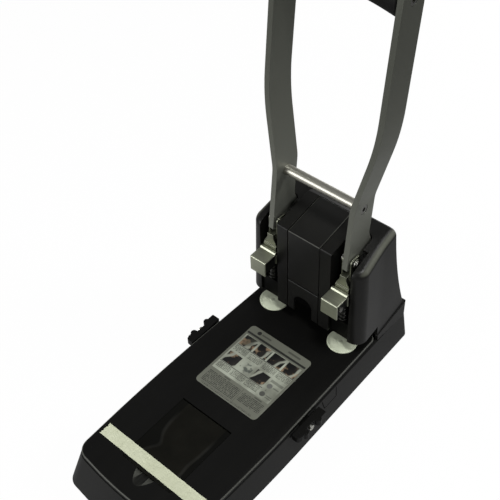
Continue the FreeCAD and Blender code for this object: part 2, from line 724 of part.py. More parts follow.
def pivot_clips():
    clips = []
    for side in (-1, 1):
        ends = sorted((side * (PLATE_OUT + SEAT), side * (PLATE_OUT + 1.2)))
        clip = tube_x(CLIP_RADIUS, PIVOT_RADIUS, *ends, PIVOT_Y, PIVOT_Z)
        mouth = box(sorted((side * 40, side * 60)), (PIVOT_Y - 3, PIVOT_Y + 3),
                    (PIVOT_Z - BIG, PIVOT_Z - PIVOT_RADIUS + 1))
        clips.append(clip.cut(mouth))
    return group(clips)


def pivot_bushes():
    """Sleeve on the shaft between the side plates; the arm turns on it."""
    ends = (PLATE_IN + FRAME_THICK + SEAT, PLATE_OUT - FRAME_THICK - SEAT)
    bush = tube_x(BUSH_RADIUS, PIVOT_RADIUS + SEAT, *ends, PIVOT_Y, PIVOT_Z)
    return group([flip(bush), bush])


# ---- lever ----------------------------------------------------------------------------
def arm_edge(z, back=0.0):
    """Y of the arm's front edge (or of a line behind it) at a height."""
    return ARM_FRONT_Y + ARM_LEAN * (z - ARM_FRONT_Z) + back


def arm():
    """Flat bar, bent outwards above the tower, with a pivot boss and a rounded top."""
    top = GRIP_Z + ARM_DEPTH / 2
    bent = plate_xz([
        (ARM_OUTER_LOW, PIVOT_Z - BOSS_RADIUS - 5, 0), (ARM_OUTER_LOW, ARM_BEND_LOW, ARM_BEND_RADIUS),
        (ARM_OUTER_TOP, ARM_BEND_HIGH, 200), (ARM_OUTER_TOP, top, 0),
        (ARM_OUTER_TOP - ARM_THICK, top, 0), (ARM_OUTER_TOP - ARM_THICK, ARM_BEND_HIGH, 205),
        (ARM_OUTER_LOW - ARM_THICK, ARM_BEND_LOW, ARM_BEND_RADIUS + ARM_THICK),
        (ARM_OUTER_LOW - ARM_THICK, PIVOT_Z - BOSS_RADIUS - 5, 0)], -BIG, BIG)
    shoulder = arm_edge(PIVOT_Z + ARM_SHOULDER, ARM_DEPTH)
    side_view = [
        (arm_edge(ARM_FOOT_Z), ARM_FOOT_Z, 1.5),
        (arm_edge(top), top, 9),
        (arm_edge(top, ARM_DEPTH), top, 9),
        (shoulder, PIVOT_Z + ARM_SHOULDER, 12),
        (PIVOT_Y + BOSS_RADIUS, PIVOT_Z + 8, 8),
        (PIVOT_Y + BOSS_RADIUS, PIVOT_Z - BOSS_RADIUS, BOSS_RADIUS - 0.5),
        (PIVOT_Y - BOSS_RADIUS + 4, PIVOT_Z - BOSS_RADIUS, 8),
    ]
    bar = bent.common(plate_yz(side_view, 0, BIG))
    bar = bar.cut(rod_x(BUSH_RADIUS + FIT, 0, BIG, PIVOT_Y, PIVOT_Z))
    bar = bar.cut(rod_x(LINK_RADIUS + SEAT, 0, BIG, LINK_Y, LINK_Z))
    for face, y, z in ((ARM_OUTER_TOP, GRIP_Y, GRIP_Z), (ARM_OUTER_LOW, ROD_Y, ROD_Z)):
        bar = bar.cut(rod_x(SCREW_RADIUS, 0, BIG, y, z))
        bar = bar.cut(rod_x(SCREW_HEAD + GAP, face - SCREW_SUNK, BIG, y, z))
    return bar


def tapped_rod(radius, half, y, z):
    """Plain rod with a screw hole in each end."""
    rod = rod_x(radius, SEAT - half, half - SEAT, y, z)
    for ends in ((-half, 14 - half), (half - 14, half)):
        rod = rod.cut(rod_x(SCREW_RADIUS, *ends, y, z))
    return rod


def cross_rod():
    return tapped_rod(ROD_RADIUS, ARM_OUTER_LOW - ARM_THICK, ROD_Y, ROD_Z)


def grip_core():
    return tapped_rod(GRIP_CORE, GRIP_HALF, GRIP_Y, GRIP_Z)


def grip_sleeve():
    """Hand grip: a waisted rubber spool turned about the core."""
    half = GRIP_HALF - GAP
    bore = GRIP_CORE + SEAT
    profile = [
        (-half, bore, 0), (-half, GRIP_END, 0), (GRIP_FLARE - half, GRIP_WAIST, 0),
        (half - GRIP_FLARE, GRIP_WAIST, 0), (half, GRIP_END, 0), (half, bore, 0),
    ]
    sleeve = Part.Face(outline(profile)).revolve(V(0, 0, 0), X_AXIS, 360)
    sleeve.translate(V(0, GRIP_Y, GRIP_Z))
    return sleeve


def side_screws(face, y, z):
    """Socket screws sunk in the arms' outer faces, one on each side."""
    screws = []
    floor = face - SCREW_SUNK + SEAT
    for side in (-1, 1):
        head = rod_x(SCREW_HEAD, *sorted((side * floor, side * (face - GAP))), y, z)
        shank = sorted((side * (floor + 1), side * (face - 16)))
        screw = head.fuse(rod_x(SCREW_RADIUS - SEAT, *shank, y, z))
        mouth = sorted((side * (floor + 0.8), side * (face + 1)))
        screws.append(screw.cut(plate_yz(hexagon(HEX_RADIUS, y, z), *mouth)))
    return group(screws)


def link_pins():
    """Headed pins that join the arms to the yokes, with the heads on the inside."""
    pins = []
    for side in (-1, 1):
        ends = sorted((side * (ARM_X - LINK_HALF), side * (ARM_X + LINK_HALF)))
        pin = rod_x(LINK_RADIUS, *ends, LINK_Y, LINK_Z)
        head = sorted((side * (ARM_X - LINK_HALF), side * (ARM_X - LINK_HALF + CLIP_THICK)))
        pins.append(pin.fuse(rod_x(LINK_RADIUS + CLIP_WALL, *head, LINK_Y, LINK_Z)))
    return group(pins)


def link_clips():
    """Clip washers that hold the link pins on the outside."""
    clips = []
    for side in (-1, 1):
        near = ARM_X + LINK_HALF - 2 * CLIP_THICK
        ends = sorted((side * near, side * (near + CLIP_THICK)))
        clips.append(tube_x(LINK_RADIUS + CLIP_WALL, LINK_RADIUS, *ends, LINK_Y, LINK_Z))
    return group(clips)


# ---- punch heads (right-hand side; the left one is mirrored) --------------------------
def punch_yoke():
    """Carrier over the punch: an upright with two slotted ears that straddle the arm."""
    inner = ARM_X - ARM_THICK / 2 - EAR_GAP
    outer = ARM_X + ARM_THICK / 2 + EAR_GAP
    front = BRACKET_BACK + BRACKET_SHEET
    tab = ARM_X - inner
    gusset = plate_xz([
        (ARM_X - GUSSET_HALF, CARRIER_LOW, 0), (ARM_X - GUSSET_HALF, CARRIER_LOW + 5, 0),
        (ARM_X - tab, CARRIER_TOP - 4, 0), (ARM_X - tab, CARRIER_TOP, 0),
        (ARM_X + tab, CARRIER_TOP, 0), (ARM_X + tab, CARRIER_TOP - 4, 0),
        (ARM_X + GUSSET_HALF, CARRIER_LOW + 5, 0), (ARM_X + GUSSET_HALF, CARRIER_LOW, 0)],
        GUSSET_FRONT, EAR_FRONT)
    block = box((inner, outer), (GUSSET_FRONT, CARRIER_BACK), (CARRIER_LOW, CARRIER_TOP))
    arc_front = PIVOT_Y - LINK_ARM - LINK_RADIUS - GAP
    arc_back = PIVOT_Y + LINK_ARM * math.cos(LINK_END) + LINK_RADIUS + GAP
    ear = [
        (EAR_FRONT, CARRIER_LOW, 0), (CARRIER_BACK, CARRIER_LOW, 0), (arc_back + 2.4, 92, 4),
        (arc_back + 2.4, LINK_Z + 5.6, 4), (EAR_FRONT, LINK_Z + 5.6, 4),
    ]
    slot = [
        (arc_front, LINK_Z - LINK_RADIUS - LINK_PLAY, LINK_RADIUS),
        (arc_back, LINK_Z - LINK_RADIUS - LINK_PLAY, LINK_RADIUS),
        (arc_back, LINK_Z + LINK_RADIUS + LINK_PLAY, LINK_RADIUS),
        (arc_front, LINK_Z + LINK_RADIUS + LINK_PLAY, LINK_RADIUS),
    ]
    ears = plate_yz(ear, inner - EAR_THICK, inner)
    ears = ears.fuse(plate_yz(ear, outer, outer + EAR_THICK))
    seat = box((ARM_X - GUSSET_HALF, ARM_X + GUSSET_HALF), (front, CARRIER_BACK),
               (CARRIER_LOW, CARRIER_LOW + PUNCH_GRIP))
    yoke = block.multiFuse([ears, seat, gusset]).removeSplitter()
    yoke = yoke.cut(rod_z(PUNCH_SHANK + SEAT, HOLE_X, 0, 0, PUNCH_TOP + SEAT))
    return yoke.cut(plate_yz(slot, 0, BIG))


def punch_bracket():
    """Bent sheet cover: front face, sloping top, raised bead and the rear tongue."""
    s = BRACKET_SHEET
    top = BRACKET_TOP
    side_view = [
        (BRACKET_FRONT, BRACKET_FOOT, 0), (BRACKET_FRONT, top, 1.2),
        (BRACKET_BACK - 2.2, top + 0.3, 0), (BRACKET_BACK - 1.2, top + BRACKET_RISE, 0.8),
        (BRACKET_BACK + s, top + BRACKET_RISE, 0.8), (BRACKET_BACK + s, BRACKET_FOOT + 4, 0),
        (BRACKET_BACK, BRACKET_FOOT + 4, 0), (BRACKET_BACK, top + 0.3 - s, 0),
        (BRACKET_FRONT + s, top - s, 0), (BRACKET_FRONT + s, BRACKET_FOOT, 0),
    ]
    sheet = plate_yz(side_view, BRACKET_IN, BRACKET_OUT)
    return sheet


def punch_block():
    """Black holder inside the bracket, with the foot flange of its clamp."""
    s = BRACKET_SHEET + SEAT
    block = box((BRACKET_IN + 1.5, BRACKET_OUT - 1.4), (BRACKET_FRONT + s, BRACKET_BACK - SEAT),
                (BRACKET_FOOT + 1.5, BRACKET_TOP - 0.3 - BRACKET_SHEET))
    return block.cut(rod_x(1.5, BRACKET_OUT - 9, BRACKET_OUT, BLOCK_SCREW_Y, BLOCK_SCREW_Z))


def punch_screw():
    head = rod_x(2.4, BRACKET_OUT - 1.4 + SEAT, BRACKET_OUT + 0.4, BLOCK_SCREW_Y, BLOCK_SCREW_Z)
    shank = rod_x(1.5 - SEAT, BRACKET_OUT - 8, BRACKET_OUT - 1, BLOCK_SCREW_Y, BLOCK_SCREW_Z)
    slot = box((BRACKET_OUT - 0.2, BRACKET_OUT + 1), (BLOCK_SCREW_Y - BIG, BLOCK_SCREW_Y + BIG),
               (BLOCK_SCREW_Z - 0.35, BLOCK_SCREW_Z + 0.35))
    return head.fuse(shank).cut(slot)


def punch_pin():
    """Hollow punch: sharp lower edge and a side window where the waste leaves."""
    tip = PUNCH_TIP_Z
    bore = HOLE_RADIUS - PUNCH_WALL
    profile = [
        (bore, tip, 0), (HOLE_RADIUS, tip, 0), (PUNCH_SHANK, tip + PUNCH_TAPER, 0),
        (PUNCH_SHANK, PUNCH_TOP, 0), (0, PUNCH_TOP, 0), (0, CARRIER_LOW - BORE_END, 0),
        (bore, CARRIER_LOW - BORE_END, 0),
    ]
    wire = outline(profile, lambda u, v, w: V(u, 0, v))
    pin = Part.Face(wire).revolve(V(0, 0, 0), Z_AXIS, 360)
    high = CARRIER_LOW - BORE_END - WINDOW_LAND
    window = box((-WINDOW_HALF, WINDOW_HALF), (-BIG, 0), (high - WINDOW_HEIGHT, high))
    pin = pin.cut(window)
    pin.translate(V(HOLE_X, 0, 0))
    return pin


def return_spring():
    """Compression spring round the punch, as a faceted coil with flat ends."""
    wire_radius = 0.55
    coil = PUNCH_SHANK + GAP + wire_radius
    low = GUIDE_TOP + wire_radius + SEAT
    high = CARRIER_LOW - wire_radius - SEAT
    turns = 6
    steps = 8
    sides = 5
    rings = []
    for i in range(turns * steps + 1):
        angle = 2 * math.pi * i / steps
        rise = low + (high - low) * i / (turns * steps)
        ring = []
        for j in range(sides):
            lean = 2 * math.pi * j / sides
            reach = coil + wire_radius * math.cos(lean)
            ring.append(V(HOLE_X + reach * math.cos(angle), reach * math.sin(angle),
                          rise + wire_radius * math.sin(lean)))
        rings.append(ring)
    faces = [facet(rings[0]), facet(rings[-1])]
    for near, far in zip(rings, rings[1:]):
        for j in range(sides):
            k = (j + 1) % sides
            faces.append(facet([near[j], near[k], far[k]]))
            faces.append(facet([near[j], far[k], far[j]]))
    return Part.makeSolid(Part.makeShell(faces))


# ---- side guides ----------------------------------------------------------------------
def guide_bar(y):
    """Flat bar that slides out to the right."""
    return box((STOP_IN - BAR_LENGTH, STOP_IN - SEAT), (y - BAR_WIDTH / 2, y + BAR_WIDTH / 2),
               (BAR_LOW, BAR_HIGH)).cut(rod_x(1.5, STOP_IN - 12, STOP_IN, y, BAR_MIDDLE))


def guide_stop(y):
    """End block of the bar, with the notch that its screw sits in."""
    half = STOP_LENGTH / 2
    block = plate_xy([
        (STOP_IN, y - half, 1), (STOP_OUT - 1.5, y - half, 2.5), (STOP_OUT, y - half + 4, 2),
        (STOP_OUT, y - NOTCH / 2, 0.8), (STOP_OUT - NOTCH_DEPTH, y - NOTCH / 2, 0.8),
        (STOP_OUT - NOTCH_DEPTH, y + NOTCH / 2, 0.8), (STOP_OUT, y + NOTCH / 2, 0.8),
        (STOP_OUT, y + half, 0.8), (STOP_IN, y + half, 0.8)],
        -STOP_DROP - STOP_HIGH, -STOP_DROP)
    for side in (-1, 1):
        block = block.fuse(rod_z(LUG_RADIUS, STOP_OUT + LUG_PROUD - LUG_RADIUS,
                                 y + side * (NOTCH / 2 + LUG_RADIUS),
                                 -STOP_DROP - STOP_HIGH, -STOP_DROP))
    return block.cut(rod_x(1.5, STOP_IN - 1, BIG, y, BAR_MIDDLE))


def guide_screw(y):
    face = STOP_OUT - NOTCH_DEPTH
    head = rod_x(2.6, face + SEAT, face + 1.8, y, BAR_MIDDLE)
    shank = rod_x(1.5 - SEAT, STOP_IN - 10, face + 1, y, BAR_MIDDLE)
    slot = box((face + 1, face + 3), (y - BIG, y + BIG), (BAR_MIDDLE - 0.4, BAR_MIDDLE + 0.4))
    return head.fuse(shank).cut(slot)


def guide_channel():
    """Runner under the deck with a through channel for each bar."""
    low_y = GUIDE_RIGHT_Y - BAR_WIDTH / 2 - CHANNEL_WALL
    high_y = GUIDE_LEFT_Y + BAR_WIDTH / 2 + CHANNEL_WALL
    block = box((-CHANNEL_REACH, CHANNEL_REACH), (low_y, high_y),
                (BAR_LOW - CHANNEL_WALL, -DECK_THICK - SEAT))
    for y in (GUIDE_LEFT_Y, GUIDE_RIGHT_Y):
        block = block.cut(box((-BIG, BIG), (y - BAR_WIDTH / 2 - GAP, y + BAR_WIDTH / 2 + GAP),
                              (BAR_LOW - GAP, BAR_HIGH + GAP)))
    return block


# ---- origin of the files: the middle of the footprint ---------------------------------
FOOTPRINT = base_body(0, -SHELL_DEPTH, SHELL_TOP).BoundBox
CENTRE_Y = (FOOTPRINT.YMin + FOOTPRINT.YMax) / 2


# ---- write every piece ----------------------------------------------------------------
def build():
    os.makedirs("parts", exist_ok=True)
    whole = {
        "base_shell": base_shell, "deck": deck, "storage_well": storage_well,
        "storage_lid": storage_lid, "lid_hinge_pin": hinge_pin, "packing_tape": packing_tape,
        "instruction_label": instruction_label, "bottom_cover": bottom_cover, "feet": feet,
        "cover_screws": cover_screws, "base_posts": base_posts, "jaw_plate": jaw_plate,
        "guide_channel": guide_channel, "tower_shell": tower_shell, "centre_cap": centre_cap,
        "lower_panel": lower_panel, "frame_screws": frame_screws, "paper_stop": paper_stop,
        "pivot_shaft": pivot_shaft, "pivot_clips": pivot_clips, "pivot_bushes": pivot_bushes,
        "cross_rod": cross_rod, "grip_core": grip_core, "grip_sleeve": grip_sleeve,
        "link_pins": link_pins, "link_clips": link_clips,
    }
    for name, make in whole.items():
        save(name, make())
    save("rod_screws", side_screws(ARM_OUTER_LOW, ROD_Y, ROD_Z))
    save("grip_screws", side_screws(ARM_OUTER_TOP, GRIP_Y, GRIP_Z))
    paired = {
        "arm": arm, "punch_frame": punch_frame, "punch_yoke": punch_yoke,
        "punch_bracket": punch_bracket, "punch_block": punch_block, "punch_screw": punch_screw,
        "punch_pin": punch_pin, "return_spring": return_spring, "cutting_disc": cutting_disc,
    }
    for name, make in paired.items():
        piece = make()
        save("right_" + name, piece)
        save("left_" + name, flip(piece))
    guides = {"guide_bar": guide_bar, "guide_stop": guide_stop, "guide_screw": guide_screw}
    for name, make in guides.items():
        save("right_" + name, make(GUIDE_RIGHT_Y))
        save("left_" + name, flip(make(GUIDE_LEFT_Y)))


build()
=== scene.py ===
import json
import math

import bmesh
import bpy
from mathutils import Matrix, Quaternion, Vector

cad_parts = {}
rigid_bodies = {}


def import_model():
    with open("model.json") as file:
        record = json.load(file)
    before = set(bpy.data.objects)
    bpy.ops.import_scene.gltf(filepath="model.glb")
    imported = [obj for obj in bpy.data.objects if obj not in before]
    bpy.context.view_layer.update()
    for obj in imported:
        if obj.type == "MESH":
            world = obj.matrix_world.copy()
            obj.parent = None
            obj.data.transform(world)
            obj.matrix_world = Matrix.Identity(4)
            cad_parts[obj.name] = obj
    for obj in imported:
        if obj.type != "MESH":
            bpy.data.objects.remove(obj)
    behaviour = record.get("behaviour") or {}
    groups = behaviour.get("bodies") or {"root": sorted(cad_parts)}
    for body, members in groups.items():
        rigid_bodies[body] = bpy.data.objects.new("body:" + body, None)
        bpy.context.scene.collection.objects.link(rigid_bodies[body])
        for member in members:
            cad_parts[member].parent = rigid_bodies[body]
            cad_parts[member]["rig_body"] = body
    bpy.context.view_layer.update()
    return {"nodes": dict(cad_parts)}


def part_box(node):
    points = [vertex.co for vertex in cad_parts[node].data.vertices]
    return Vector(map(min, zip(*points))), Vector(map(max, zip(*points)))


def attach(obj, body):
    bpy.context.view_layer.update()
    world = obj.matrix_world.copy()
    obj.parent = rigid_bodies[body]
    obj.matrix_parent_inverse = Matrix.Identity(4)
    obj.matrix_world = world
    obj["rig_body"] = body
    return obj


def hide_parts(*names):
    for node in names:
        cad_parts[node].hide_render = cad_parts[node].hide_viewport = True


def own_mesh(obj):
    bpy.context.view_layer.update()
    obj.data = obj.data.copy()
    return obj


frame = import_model()


# ---- Camera ----
# It looks down on the punch from the front right corner, through a short telephoto lens,
# so near that the hand grip and the front corner of the base reach past the frame.
VIEW_PLACE = (0.3372, -0.35054, 0.6947)
VIEW_AZIMUTH = math.radians(42.76)
VIEW_ELEVATION = math.radians(45.58)
VIEW_ROLL = math.radians(-2.54)
eye = bpy.data.cameras.new("camera")
eye.lens = 66.33
eye.sensor_width = 36.0
eye.clip_start = 0.02
camera = bpy.data.objects.new("camera", eye)
bpy.context.scene.collection.objects.link(camera)
camera.location = VIEW_PLACE
toward_eye = Vector((math.sin(VIEW_AZIMUTH) * math.cos(VIEW_ELEVATION),
                     -math.cos(VIEW_AZIMUTH) * math.cos(VIEW_ELEVATION),
                     math.sin(VIEW_ELEVATION)))
camera.rotation_mode = "QUATERNION"
camera.rotation_quaternion = (toward_eye.to_track_quat("Z", "Y")
                              @ Quaternion((0, 0, 1), VIEW_ROLL))
bpy.context.scene.camera = camera


# ---- Floor and light ----
# A plain white floor with a soft shadow, clear from below so that the feet can be seen.
# Round lamps stand overhead, behind at the right for the edges, broad in front at the left
# and low at the back. The surroundings look white and light the punch a little.
class Value:
    """A socket that arithmetic can be done on; each operation adds a Math node."""

    def __init__(self, finish, socket):
        self.finish = finish
        self.socket = socket

    def __add__(self, other):
        return self.finish.math("ADD", self, other)

    def __sub__(self, other):
        return self.finish.math("SUBTRACT", self, other)

    def __rsub__(self, other):
        return self.finish.math("SUBTRACT", other, self)

    def __mul__(self, other):
        return self.finish.math("MULTIPLY", self, other)

    def __truediv__(self, other):
        return self.finish.math("DIVIDE", self, other)

    def __rtruediv__(self, other):
        return self.finish.math("DIVIDE", other, self)

    def __pow__(self, other):
        return self.finish.math("POWER", self, other)

    def __gt__(self, other):
        return self.finish.math("GREATER_THAN", self, other)

    def __lt__(self, other):
        return self.finish.math("LESS_THAN", self, other)

    def __abs__(self):
        return self.finish.math("ABSOLUTE", self)

    __radd__ = __add__
    __rmul__ = __mul__


class Finish:
    """A material and the one way to add a node to it."""

    def __init__(self, name):
        self.material = bpy.data.materials.new(name)
        self.material.use_nodes = True
        self.tree = self.material.node_tree
        self.tree.nodes.clear()

    def node(self, kind, settings=None, sockets=None, output=0):
        made = self.tree.nodes.new("ShaderNode" + kind)
        for key, value in (settings or {}).items():
            setattr(made, key, value)
        for key, value in (sockets or {}).items():
            if isinstance(value, Value):
                self.tree.links.new(value.socket, made.inputs[key])
            else:
                made.inputs[key].default_value = value
        return Value(self, made.outputs[output])

    def math(self, operation, *inputs):
        """A Math node on values or numbers."""
        return self.node("Math", {"operation": operation}, dict(enumerate(inputs)))

    def place(self):
        return self.node("TexCoord", output="Object")

    def along(self, axis):
        return self.node("SeparateXYZ", sockets={0: self.place()}, output=axis)

    def soften(self, value, low, high):
        """A share that climbs smoothly from 0 at low to 1 at high."""
        return self.node("MapRange", {"interpolation_type": "SMOOTHSTEP"},
                         {0: value, 1: low, 2: high, 3: 0.0, 4: 1.0})

    def rounding(self, across_only):
        """1 where the surface turns over an edge at 45 degrees, 0 on the level and upright."""
        facing = self.node("NewGeometry", output="Normal")
        up = self.node("SeparateXYZ", sockets={0: facing}, output=2)
        if across_only:
            side = abs(self.node("SeparateXYZ", sockets={0: facing}, output=0))
        else:
            side = (1.0 - up * up) ** 0.5
        return up * side * 2.0

    def noise(self, scale, detail=2.0, stretch=(1, 1, 1)):
        """Mottling with this many grains to the metre, longer where stretch is less than 1."""
        at = self.node("Mapping", sockets={"Vector": self.place(), "Scale": stretch})
        return self.node("TexNoise", sockets={"Vector": at, "Scale": scale, "Detail": detail})

    def between(self, mask, low, high):
        """A colour that goes from low to high as the mask goes from 0 to 1."""
        return self.node("Mix", {"data_type": "RGBA", "clamp_factor": True},
                         {0: mask, 6: plain(low), 7: plain(high)}, output=2)

    def bump(self, height, strength, distance):
        return self.node("Bump", sockets={"Height": height, "Strength": strength,
                                          "Distance": distance})

    def shine(self, **sockets):
        """Ends the material in a Principled shader with these sockets."""
        named = {key.replace("_", " "): plain(value) for key, value in sockets.items()}
        self.end(self.node("BsdfPrincipled", sockets=named))
        return self.material

    def end(self, shader):
        output = self.tree.nodes.new("ShaderNodeOutputMaterial")
        self.tree.links.new(shader.socket, output.inputs["Surface"])


def colour(shade):
    """RGBA of a grey number or an RGB triple."""
    if isinstance(shade, (int, float)):
        shade = (shade, shade, shade)
    return (*shade, 1.0)[:4]


def plain(value):
    return colour(value) if isinstance(value, tuple) else value


MM = 0.001
FLOOR_HALF = 6.0
FLOOR_DROP = 0.2 * MM
SHADOW_SHARE = 0.035            # how much of the floor is lit paper, which takes the shadow
GLOW_NEAR, GLOW_FAR = 0.42, 0.16    # what the floor throws back onto the punch, fading
FADE_FROM, FADE_TO = 0.15, 0.65     # between these distances from the middle
white = Finish("white_floor")
seen = white.math("MAXIMUM", white.node("LightPath", output="Is Camera Ray"),
                  white.node("LightPath", output="Is Transmission Ray"))
mirrored = white.node("LightPath", output="Is Glossy Ray")
reach = (white.along(0) ** 2.0 + white.along(1) ** 2.0) ** 0.5
fading = white.node("MapRange", sockets={0: reach, 1: FADE_FROM, 2: FADE_TO,
                                         3: GLOW_NEAR, 4: GLOW_FAR})
paper = white.node("BsdfDiffuse", sockets={"Color": colour(1.0)})
glow = white.node("Emission", sockets={
    "Color": white.between(seen + (1.0 - seen) * fading, (0.0, 0.0, 0.0), (1.0, 1.0, 1.0))})
above = white.node("MixShader", sockets={
    0: seen * (1 - SHADOW_SHARE) + mirrored * (1.0 - seen), 1: paper, 2: glow})
white.end(white.node("MixShader", sockets={
    0: white.node("NewGeometry", output="Backfacing"), 1: above,
    2: white.node("BsdfTransparent")}))
ground = bmesh.new()
bmesh.ops.create_grid(ground, x_segments=1, y_segments=1, size=FLOOR_HALF)
bmesh.ops.translate(ground, verts=ground.verts, vec=(0, 0, -FLOOR_DROP))
floor_mesh = bpy.data.meshes.new("floor")
ground.to_mesh(floor_mesh)
ground.free()
floor_mesh.materials.append(white.material)
floor = bpy.data.objects.new("floor", floor_mesh)
bpy.context.scene.collection.objects.link(floor)
LAMP_TARGET = Vector((0, 0, 0.1))


def soft_lamp(name, place, size, power):
    """A round lamp that faces the middle of the punch."""
    lamp = bpy.data.lights.new(name, "AREA")
    lamp.shape = "DISK"
    lamp.size = size
    lamp.energy = power
    holder = bpy.data.objects.new(name, lamp)
    bpy.context.scene.collection.objects.link(holder)
    holder.location = place
    holder.rotation_mode = "QUATERNION"
    holder.rotation_quaternion = (Vector(place) - LAMP_TARGET).to_track_quat("Z", "Y")


soft_lamp("top_lamp", (0.42, -0.12, 1.65), size=0.34, power=10.5)
soft_lamp("edge_lamp", (1.1, 0.95, 1.0), size=0.6, power=10.0)
soft_lamp("front_lamp", (-0.8, -1.35, 0.55), size=1.0, power=13.0)
soft_lamp("rear_lamp", (-0.2, 1.6, 0.3), size=0.5, power=9.0)
SKY_LIGHT = 0.22                # on the punch
SKY_SEEN = 1.0                  # by the camera
world = bpy.data.worlds.new("studio")
bpy.context.scene.world = world
world.use_nodes = True
sky = world.node_tree
sky.nodes.clear()
shown = sky.nodes.new("ShaderNodeMixShader")
sky.links.new(sky.nodes.new("ShaderNodeLightPath").outputs["Is Camera Ray"], shown.inputs[0])
for place, strength in ((1, SKY_LIGHT), (2, SKY_SEEN)):
    air = sky.nodes.new("ShaderNodeBackground")
    air.inputs["Color"].default_value = colour(1.0)
    air.inputs["Strength"].default_value = strength
    sky.links.new(air.outputs[0], shown.inputs[place])
sky.links.new(shown.outputs[0], sky.nodes.new("ShaderNodeOutputWorld").inputs[0])
bpy.context.scene.view_settings.view_transform = "Standard"


# ---- Base shell and bottom cover ----
# The lower moulding, black plastic with an even spark-eroded grain, and the flat cover,
# posts and runner inside it. Its shoulder at the back carries the tower.
SHELL_BLACK = (0.007, 0.007, 0.0064)
DUST_GREY = (0.03, 0.03, 0.028)
# A pale olive grey painted on rounded edges as a highlight.
EDGE_HIGHLIGHT_GREY = (0.12, 0.124, 0.098)
DARKER, LIGHTER = 0.82, 1.22    # how far a moulding's clouds go from its own shade


def shaded(shade, share):
    return tuple(share * part for part in shade)


def moulding(name, shade, roughness, grain, depth, mirror=0.26, wear_and_highlight=0.0, across_only=True):
    """Black plastic with a grain, faint clouds, dust and, where asked, edges painted paler as a
    highlight.
    """
    skin = Finish(name)
    spots = skin.noise(grain)
    clouds = skin.noise(18.0, 3.0)
    dust = skin.noise(420.0, 1.0) > 0.73
    tone = skin.between(clouds, shaded(shade, DARKER), shaded(shade, LIGHTER))
    tone = skin.between(dust * 0.2, tone, DUST_GREY)
    # Edges that turn over at about 45 degrees are painted paler here: a painted highlight.
    if wear_and_highlight:
        edge_highlight = skin.soften(skin.rounding(across_only), 0.45, 1.0) * wear_and_highlight
        tone = skin.between(edge_highlight * (clouds * 0.6 + 0.7), tone, EDGE_HIGHLIGHT_GREY)
    return skin.shine(Base_Color=tone, Roughness=clouds * 0.12 + (roughness - 0.06),
                      Specular_IOR_Level=mirror, Normal=skin.bump(spots, 0.35, depth))


shell_black = moulding("shell_black", SHELL_BLACK, roughness=0.46, grain=1500.0,
                       depth=0.06 * MM)
cover_black = moulding("cover_black", (0.014, 0.014, 0.013), roughness=0.55, grain=1100.0,
                       depth=0.08 * MM)
SHARP = 28.0                    # degrees from which an edge counts as one
SAME_PLANE = 0.6                # degrees within which faces are one flat
SAME_PLACE = 0.01 * MM


def new_piece(name, work, finish, body, sharp=SHARP):
    """An object from a bmesh: smooth but for its sharp edges, riding on a body."""
    bmesh.ops.recalc_face_normals(work, faces=work.faces)
    mesh = bpy.data.meshes.new(name)
    work.to_mesh(mesh)
    work.free()
    mesh.shade_smooth()
    mesh.set_sharp_from_angle(angle=math.radians(sharp))
    mesh.materials.append(finish)
    piece = bpy.data.objects.new(name, mesh)
    bpy.context.scene.collection.objects.link(piece)
    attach(piece, body)
    return piece


def copy_of(node, finish, edge, segments=3, reshape=None):
    """A new piece with a CAD node's shape, its flat faces whole and its edges rounded."""
    source = frame["nodes"][node]
    work = bmesh.new()
    work.from_mesh(source.data)
    bmesh.ops.remove_doubles(work, verts=work.verts, dist=SAME_PLACE)
    if reshape:
        reshape(work)
    bmesh.ops.dissolve_limit(work, angle_limit=math.radians(SAME_PLANE), verts=work.verts,
                             edges=work.edges, delimit={"NORMAL"})
    piece = new_piece(node + "_skin", work, finish, source["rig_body"])
    if edge:
        soften = piece.modifiers.new("edges", "BEVEL")
        soften.width = edge
        soften.segments = segments
        soften.limit_method = "ANGLE"
        soften.angle_limit = math.radians(SHARP)
        soften.use_clamp_overlap = True
    even = piece.modifiers.new("flats", "WEIGHTED_NORMAL")
    even.keep_sharp = True
    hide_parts(node)
    return piece


def paint(finish, *nodes):
    """Gives CAD nodes a finish and leaves their shape as it is."""
    for node in nodes:
        slots = frame["nodes"][node].data.materials
        for place in range(len(slots)):
            slots[place] = finish


copy_of("base_shell", shell_black, edge=0.7 * MM)
paint(cover_black, "bottom_cover", "base_posts", "guide_channel")


# ---- Feet and cover screws ----
# Four round rubber feet with moulding specks, stuck under the bottom cover, and plain
# bright screws: four hold the cover to its posts, two hold the punch frames to the jaw.
def metal(name, shade, roughness, streak=(1, 1, 1), scale=900.0, depth=0.01 * MM):
    """Bare or plated metal with fine lines along the axis where streak is small."""
    skin = Finish(name)
    lines = skin.noise(scale, 3.0, streak)
    stains = skin.noise(60.0, 4.0)
    tone = skin.between(lines * 0.6 + stains * 0.4, shaded(shade, 0.72), shaded(shade, 1.22))
    return skin.shine(Base_Color=tone, Metallic=1.0,
                      Roughness=lines * 0.14 + stains * 0.08 + (roughness - 0.11),
                      Normal=skin.bump(lines, 0.4, depth))


foot_rubber = moulding("foot_rubber", (0.016, 0.016, 0.016), roughness=0.8, grain=2600.0,
                       depth=0.05 * MM)
turned_steel = metal("turned_steel", (0.42, 0.42, 0.39), roughness=0.3)
paint(foot_rubber, "feet")
paint(turned_steel, "cover_screws", "frame_screws")


# ---- Deck ----
# The long top plate that the paper lies on, in the same plastic with a finer grain and
# the faint scuffs that paper leaves along it. A finger scoop lies before the lid.
PAPER_GREY = (0.025, 0.025, 0.022)
# Painted on the deck's rounded rim as a highlight.
DECK_RIM_HIGHLIGHT = (0.085, 0.087, 0.076)
SCOOP_HALF = 25 * MM            # the scoop lies inside this much on either side,
SCOOP_FRONT = 6 * MM            # this far behind the deck's front
SCOOP_BACK = 12 * MM            # and no farther back than this past the lid's front
SCOOP_LEVEL = 0.05 * MM         # what lies this close under the deck's top is its rim


